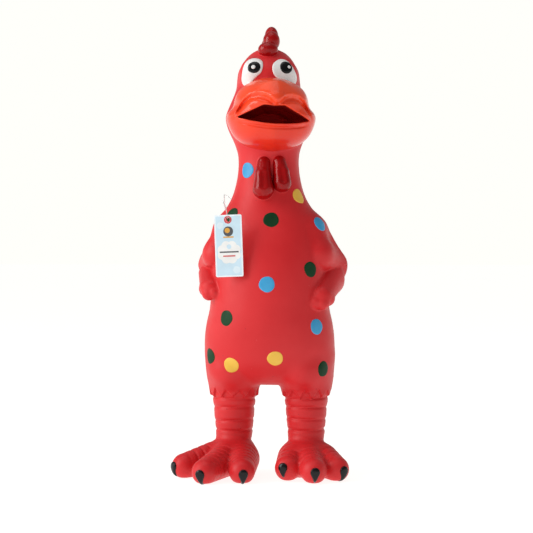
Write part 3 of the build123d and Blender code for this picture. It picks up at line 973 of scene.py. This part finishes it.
LOOP_ROUTE = [
    (-24.89, 11.23, 170.96), (-29.81, 14.68, 174.56), (-31.9, 12.6, 178.6), (-31.6, 5.0, 181.0),
    (-31.2, -4.5, 182.0), (-29.2, -14.5, 182.1), (-26.7, -23.5, 179.8), (-24.2, -30.5, 175.2),
    (-22.0, -33.8, 169.9), (-21.3, -41.4, 169.9), (-22.0, -42.5, 177.0), (-24.0, -37.5, 182.5),
    (-25.6, -28.5, 185.3), (-27.4, -18.0, 186.2), (-28.6, -6.0, 186.0), (-28.6, 6.0, 185.0),
    (-27.2, 15.5, 182.6), (-25.2, 21.3, 179.0), (-23.61, 21.15, 174.56), (-19.92, 16.42, 170.96),
]
LOOP_RADIUS, LOOP_LENGTH = 0.25, 156.4


def make_loop():
    curve = bpy.data.curves.new("tag_loop_line", "CURVE")
    curve.dimensions = "3D"
    spline = curve.splines.new("NURBS")
    spline.points.add(len(LOOP_ROUTE) - 1)
    for point, place in zip(spline.points, placed(LOOP_ROUTE)):
        point.co = (*place, 1)
    spline.order_u = 3
    spline.use_endpoint_u = True
    spline.resolution_u = 8
    curve.bevel_depth = LOOP_RADIUS * MM
    curve.bevel_resolution = 3
    curve.use_fill_caps = True
    curve.materials.append(NYLON)
    obj = added("tag_loop_line", curve)
    attach(obj, "tag_loop", "nylon_clear", "tag_loop")


make_loop()


# ---- The latex skin ----
def make_skin():
    low, high = (-64.0, -64.0, -2.0), (64.0, 46.0, 292.0)
    whole = from_field("whole_skin", skin_field, low, high, CELL, SKIN)
    torso = section("torso_latex", whole, SHANK_HIGH_Z, NECK_LOW_Z, SKIN, skin_field)
    follow_belly(
        torso, "latex_red", "torso_skin", "belly_panel", "left_wing", "right_wing", "tail",
        "left_thigh_cuff", "right_thigh_cuff",
    )
    neck = section("neck_latex", whole, NECK_LOW_Z, NECK_HIGH_Z, SKIN, skin_field)
    follow_neck(neck, "latex_red", "neck_skin")
    head = section("head_latex", whole, NECK_HIGH_Z, None, SKIN, skin_field)
    attach(head, "head", "latex_red", "head_skin")
    for name, side in (("left", 1), ("right", -1)):
        leg = one_side(whole, side)
        shank = section(f"{name}_shank_latex", leg, SHANK_LOW_Z, SHANK_HIGH_Z, SKIN, skin_field)
        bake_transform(shank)
        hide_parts(f"{name}_shank")
        foot = section(f"{name}_foot_latex", leg, None, SHANK_LOW_Z, SKIN, skin_field)
        attach(foot, f"{name}_foot", "latex_red", f"{name}_foot")
        bpy.data.objects.remove(leg)
    bpy.data.objects.remove(whole)


def one_side(whole, side):
    obj = added("one_side", whole.data.copy())
    high = (SHANK_HIGH_Z + 6) * MM
    with edited(obj.data) as work:
        gone = [vert for vert in work.verts if vert.co.x * side < 0 or vert.co.z > high]
        bmesh.ops.delete(work, geom=gone, context="VERTS")
    return obj


make_skin()


# ---- Beak and mouth ----
def make_beak():
    low, high = (-34.0, -54.0, 208.0), (38.0, 8.0, 272.0)

    def shell(points):
        behind = head_turned(points)[:, 1] + 8.0
        return smooth_max(cut_beak_field(points), behind, 1.0)

    whole = from_field("whole_beak", shell, low, high, FINE_CELL, BEAK)
    split_z = 234.3
    upper = section("upper_beak_paint", whole, split_z, None, BEAK, shell)
    attach(upper, "head", "beak_orange", "upper_beak")
    lower = section("lower_beak_paint", whole, None, split_z, BEAK, shell)
    attach(lower, "head", "beak_orange", "lower_beak")
    bpy.data.objects.remove(whole)


def make_mouth_lining():
    """The mouth's inner wall: a thin pocket just behind the lips."""
    low, high = (-32.0, -50.0, 226.0), (36.0, 14.0, 252.0)

    def pocket(points):
        wall = np.maximum(mouth_field(points, 0.9), -mouth_field(points, -0.1))
        inside = np.minimum(beak_field(points) + 1.5, trunk_field(points) + 1.5)
        return np.maximum(wall, inside)

    lining = from_field("mouth_pocket", pocket, low, high, FINE_CELL, MOUTH)
    attach(lining, "head", "mouth_maroon", "mouth_lining")


make_beak()
make_mouth_lining()


# ---- Comb and wattles ----
def make_comb():
    comb = from_field("comb_paint", comb_field, (-18, -30, 268), (18, 32, 302), FINE_CELL, COMB)
    set_normals(comb, comb_field)
    attach(comb, "head", "comb_red", "comb")


def make_wattles():
    for name in WATTLES:
        def field(points, name=name):
            return wattle_field(points, name)
        wattle = from_field(f"{name}_wattle_paint", field, (-16, -34, 180), (20, -8, 216), FINE_CELL, COMB)
        set_normals(wattle, field)
        follow_neck(wattle, "comb_red", f"{name}_wattle")


make_comb()
make_wattles()


# ---- Places on the skin as they are seen from the front or the back ----
def on_surface(across, height, side=1):
    """The skin's point seen there, against a plane through the body's axis, and the way it faces."""
    seen = VIEW_RIGHT * across + (0, 0, height)
    eye = CAMERA_SPOT * (side, side, 1)
    inward = (seen - eye) / np.linalg.norm(seen - eye)
    point = (seen - inward * 70.0)[None]
    for _ in range(60):
        point = point + inward * np.clip(skin_field(point), -2, 8)[:, None] * 0.7
    slope = gradient(skin_field, point, 1.0)[0]
    return point[0], slope / np.linalg.norm(slope)


# ---- Eyes ----
EYES = {  # places across the front view with heights, then sizes
    "right": {
        "white": (-11.6, 271.2), "tail": (-5.0, -8.3), "radii": (6.6, 4.1),
        "pupil": (-10.6, 270.9), "pupil size": (4.35, 4.05), "glint": (-10.8, 271.0), "glint radius": 1.45,
    },
    "left": {
        "white": (8.8, 269.6), "tail": (6.4, -5.2), "radii": (7.2, 4.7),
        "pupil": (10.8, 270.8), "pupil size": (4.45, 4.3), "glint": (12.5, 271.0), "glint radius": 1.15,
    },
}


def stretched_outline(half_width, half_height):
    def reach(angle):
        return 1 / np.sqrt((np.cos(angle) / half_width) ** 2 + (np.sin(angle) / half_height) ** 2)
    return reach


def make_eyes():
    for name, eye in EYES.items():
        toward = VIEW_BACK + VIEW_RIGHT * (0.3 if name == "left" else -0.3) + (0, 0, 0.05)
        layers = [
            ("eye", "white", tear_outline((0, 0), eye["tail"], *eye["radii"]), 0.5, WHITE, 0.02),
            ("pupil", "pupil", stretched_outline(*eye["pupil size"]), 0.95, BLACK, 0.01),
            ("glint", "glint", circle_outline(eye["glint radius"]), 1.2, WHITE, 0.02),
        ]
        for part, place, outline, thickness, material, wobble in layers:
            centre, _ = on_surface(*eye[place])
            pad = patch(
                f"{name}_{part}_paint", skin_field, centre, toward, outline, thickness, material,
                spokes=64, wobble=wobble,
            )
            node = f"{name}_eye_glint" if part == "glint" else f"{name}_{part}"
            attach(pad, "head", "gloss_black" if part == "pupil" else "eye_white", node)


make_eyes()


# ---- Painted dots ----
FRONT_DOTS = {  # place across the front view, and height
    "torso_dots_yellow": [(3.4, 77.2), (-25.6, 73.2)],
    "torso_dots_green": [
        (0.7, 169.7), (-25.4, 173.0), (27.0, 136.7), (-29.1, 104.3), (-39.6, 79.0), (35.7, 70.4),
    ],
    "torso_dots_blue": [(33.6, 167.2), (31.2, 98.6)],
    "belly_dot_blue": [(-2.1, 126.7)],
    "neck_dot_yellow": [(19.0, 185.3)],
    "throat_dot_blue": [(-15.1, 202.6)],
}
BACK_DOTS = {
    "torso_dots_yellow": [(-14.0, 158.0), (21.0, 84.0)],
    "torso_dots_green": [(12.0, 140.0), (-22.0, 78.0), (30.0, 112.0)],
    "torso_dots_blue": [(-14.0, 118.0), (6.0, 70.0), (-24.0, 136.0)],
}
DOT_RADIUS, DOT_THICKNESS = 5.15, 0.28


def dot(name, across, height, side, material):
    point, outward = on_surface(across, height, side)
    outline = circle_outline(DOT_RADIUS)
    return patch(
        name, skin_field, point, outward, outline, DOT_THICKNESS, material, spokes=40, wobble=0.02
    )


def make_dots():
    for node in FRONT_DOTS:
        paint = DOT_PAINT[node.rsplit("_", 1)[1]]
        pads = []
        for side, table in ((1, FRONT_DOTS), (-1, BACK_DOTS)):
            for index, (across, height) in enumerate(table.get(node, [])):
                pads.append(dot(f"{node}_{side}_{index}", across, height, side, paint))
        pad = joined(f"{node}_paint", pads)
        slot = "dot_" + node.rsplit("_", 1)[1]
        if node == "throat_dot_blue":
            attach(pad, "head", slot, node)
        elif node == "neck_dot_yellow":
            follow_neck(pad, slot, node)
        else:
            follow_belly(pad, slot, node)


make_dots()


# ---- Claws ----
def make_claws():
    outline = tear_outline((0, 1.2), (0, -4.2), 3.1, 0.7)
    thickness = 1.1
    for name, side in (("left", 1), ("right", -1)):
        pads = []
        for toe, (_, length, _, claw_z) in enumerate(TOES[side]):
            direction = toe_direction(side, toe)
            centre = direction * (length + TOE_TIP_RADIUS) + (side * LEG_X, 0, claw_z)
            toward = direction + (0, 0, 0.25)
            pads.append(patch(
                f"{name}_claw_{toe}", skin_field, centre, toward, outline, thickness, BLACK, spokes=40
            ))
        attach(joined(f"{name}_claws_paint", pads), f"{name}_foot", "gloss_black", f"{name}_claws")


make_claws()


# ---- Hang tag ----
TAG_LOW, TAG_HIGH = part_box("tag")
TAG_HALF_WIDTH, TAG_HALF_HEIGHT, TAG_BORDER = 9.0, 20.0, 0.9
TAG_HOLE_DROP = 3.2
TAG_TILT = radians(-2.0)
TAG_CENTRE = [(low + high) / 2 / MM for low, high in zip(TAG_LOW, TAG_HIGH)]
TAG_FRONT_Y = TAG_LOW[1] / MM - BODY_Y


def box_outline(half_width, half_height, centre=(0, 0)):
    corners = ((-1, -1), (1, -1), (1, 1), (-1, 1))
    return [(centre[0] + half_width * a, centre[1] + half_height * b) for a, b in corners]


def circle(radius, centre, turn=1):
    """Points round a circle from just beside its top, anticlockwise or the other way."""
    angles = pi / 2 + turn * np.linspace(0.02, 2 * pi - 0.02, 40)
    return np.stack([np.cos(angles), np.sin(angles)], axis=1) * radius + centre


def cloud_outline(radius, centre, lobes=8):
    angles = np.arange(120) * 2 * pi / 120
    edge = radius * (0.88 + 0.12 * np.abs(np.sin(angles * lobes / 2)))
    return np.stack([np.cos(angles) * edge, np.sin(angles) * edge * 0.95], axis=1) + centre


def sky_outline(hole):
    """The card's print up to its pale border, with the hole joined to the top by a slit."""
    top = TAG_HALF_HEIGHT - TAG_BORDER
    low_left, low_right, high_right, high_left = box_outline(TAG_HALF_WIDTH - TAG_BORDER, top)
    card = [(-0.03, top), high_left, low_left, low_right, high_right, (0.03, top)]
    return np.concatenate([card, circle(1.8, hole, turn=-1)])


def tag_layer(name, outline, depth, material):
    """A thin layer of print that stands this far off the card's front."""
    flat = np.array(outline)
    x = TAG_CENTRE[0] + flat[:, 0] * cos(TAG_TILT) + flat[:, 1] * sin(TAG_TILT)
    z = TAG_CENTRE[2] + flat[:, 1] * cos(TAG_TILT) - flat[:, 0] * sin(TAG_TILT)
    count = len(flat)
    front = np.stack([x, np.full(count, TAG_FRONT_Y - depth), z], axis=1)
    back = np.stack([x, np.full(count, TAG_FRONT_Y + 0.02), z], axis=1)
    faces = [list(range(count)), list(range(count, 2 * count))[::-1]]
    for index in range(count):
        after = (index + 1) % count
        faces.append([index, index + count, after + count, after])
    obj = new_object(name, np.concatenate([front, back]), faces, material)
    with edited(obj.data) as work:
        bmesh.ops.recalc_face_normals(work, faces=work.faces)
    obj.data.shade_flat()
    attach(obj, "tag", "tag_card")


def make_tag():
    """The card keeps its solid; its print is added as thin layers on the front."""
    dress("tag", paper_print("tag_edge", (0.86, 0.93, 0.98)))
    sky = paper_print("tag_sky", (0.60, 0.78, 0.90))
    haze = paper_print("tag_haze", (0.72, 0.85, 0.93))
    pale = paper_print("tag_pale", (0.88, 0.88, 0.87))
    ink = paper_print("tag_ink", (0.07, 0.07, 0.08))
    red = paper_print("tag_red", (0.62, 0.03, 0.03))
    gold = paper_print("tag_gold", (0.75, 0.36, 0.04))
    hole = (0, TAG_HALF_HEIGHT - TAG_HOLE_DROP)
    ring = np.concatenate([circle(2.5, hole), circle(1.6, hole, turn=-1)])
    tag_layer("tag_print_sky", sky_outline(hole), 0.04, sky)
    tag_layer("tag_print_ring", ring, 0.08, red)
    tag_layer("tag_print_haze_high", cloud_outline(2.3, (-5.2, 13.2), lobes=5), 0.06, haze)
    tag_layer("tag_print_haze_low", cloud_outline(2.5, (4.8, -15.6), lobes=5), 0.06, haze)
    tag_layer("tag_print_cloud", cloud_outline(8.0, (0.2, -4.2)), 0.07, pale)
    tag_layer("tag_print_spot", circle(1.5, (0.2, -0.6)), 0.10, sky)
    tag_layer("tag_print_bar", box_outline(6.2, 0.45, (0.2, -4.0)), 0.10, ink)
    tag_layer("tag_print_bar_red", box_outline(4.0, 0.4, (0.2, -6.6)), 0.10, red)
    tag_layer("tag_print_disc", circle(3.2, (0, 9.3)), 0.10, ink)
    tag_layer("tag_print_disc_gold", circle(1.7, (-0.6, 9.9)), 0.13, gold)
    tag_layer("tag_print_strip", box_outline(3.4, 0.45, (0, 5.6)), 0.10, gold)


make_tag()


# ---- Squeaker: the solids keep their shape ----
for piece in ("squeaker_housing", "squeaker_inlet_cap", "squeaker_reed_bed", "squeaker_reed_clamp"):
    dress(piece, PLASTIC)
dress("squeaker_reed", FILM)
dress("tag_loop_bar", NYLON)


# ---- Floor and light ----
FLOOR_COLOUR, FLOOR_GLOW = (0.32, 0.32, 0.31, 1), 0.9
BACKDROP, CEILING, SCREEN = (1.0, 1.0, 0.96), (0.30, 0.30, 0.30), (0.55, 0.55, 0.55)
SCREEN_SIDE = (0.83, -0.55, 0.0)


def make_stage():
    material, tree, shader = new_material("floor_white")
    feed(tree, shader, {
        "Base Color": FLOOR_COLOUR, "Roughness": 0.9, "Specular IOR Level": 0.0,
        "Emission Color": (1.0, 1.0, 0.98, 1), "Emission Strength": FLOOR_GLOW,
    })
    bpy.ops.mesh.primitive_plane_add(size=30, location=(0, 0, 0))
    floor = bpy.context.object
    floor.name = "floor"
    floor.data.materials.append(material)


def area_light(name, place, aim, size, power, colour):
    data = bpy.data.lights.new(name, "AREA")
    data.shape = "RECTANGLE"
    data.size, data.size_y = size
    data.energy = power
    data.color = colour
    aimed(added(name, data), place, aim)


def make_world():
    """A white horizon under a dimmer ceiling, with a dark screen on the front right."""
    world = bpy.data.worlds.new("studio")
    world.use_nodes = True
    tree = world.node_tree
    place = tree.nodes.new("ShaderNodeTexCoord").outputs["Generated"]
    split = add_node(tree, "SeparateXYZ", {"Vector": place})
    sky = ramp(tree, split.outputs["Z"], [
        (0.0, BACKDROP), (0.17, BACKDROP), (0.26, (0.32, 0.32, 0.32)), (1.0, CEILING),
    ])
    toward = add_node(tree, "VectorMath", {0: place, 1: SCREEN_SIDE})
    toward.operation = "DOT_PRODUCT"
    screen = ramp(tree, toward.outputs["Value"], [
        (0.0, (1.0, 1.0, 1.0)), (0.35, (1.0, 1.0, 1.0)), (0.8, SCREEN), (1.0, SCREEN),
    ])
    shaded = mixed(tree, 1.0, sky, screen, blend="MULTIPLY")
    feed(tree, tree.nodes["Background"], {"Color": shaded})
    bpy.context.scene.world = world


def make_lights():
    middle = (0, 0, 0.15)
    area_light("key", (-1.20, -0.62, 0.75), middle, (0.9, 1.1), 15, (1.0, 0.985, 0.97))
    area_light("top", (-0.2, -0.2, 1.7), middle, (1.2, 1.2), 5, (1.0, 1.0, 1.0))
    make_world()
    bpy.context.scene.view_settings.view_transform = "Standard"


make_stage()
make_lights()
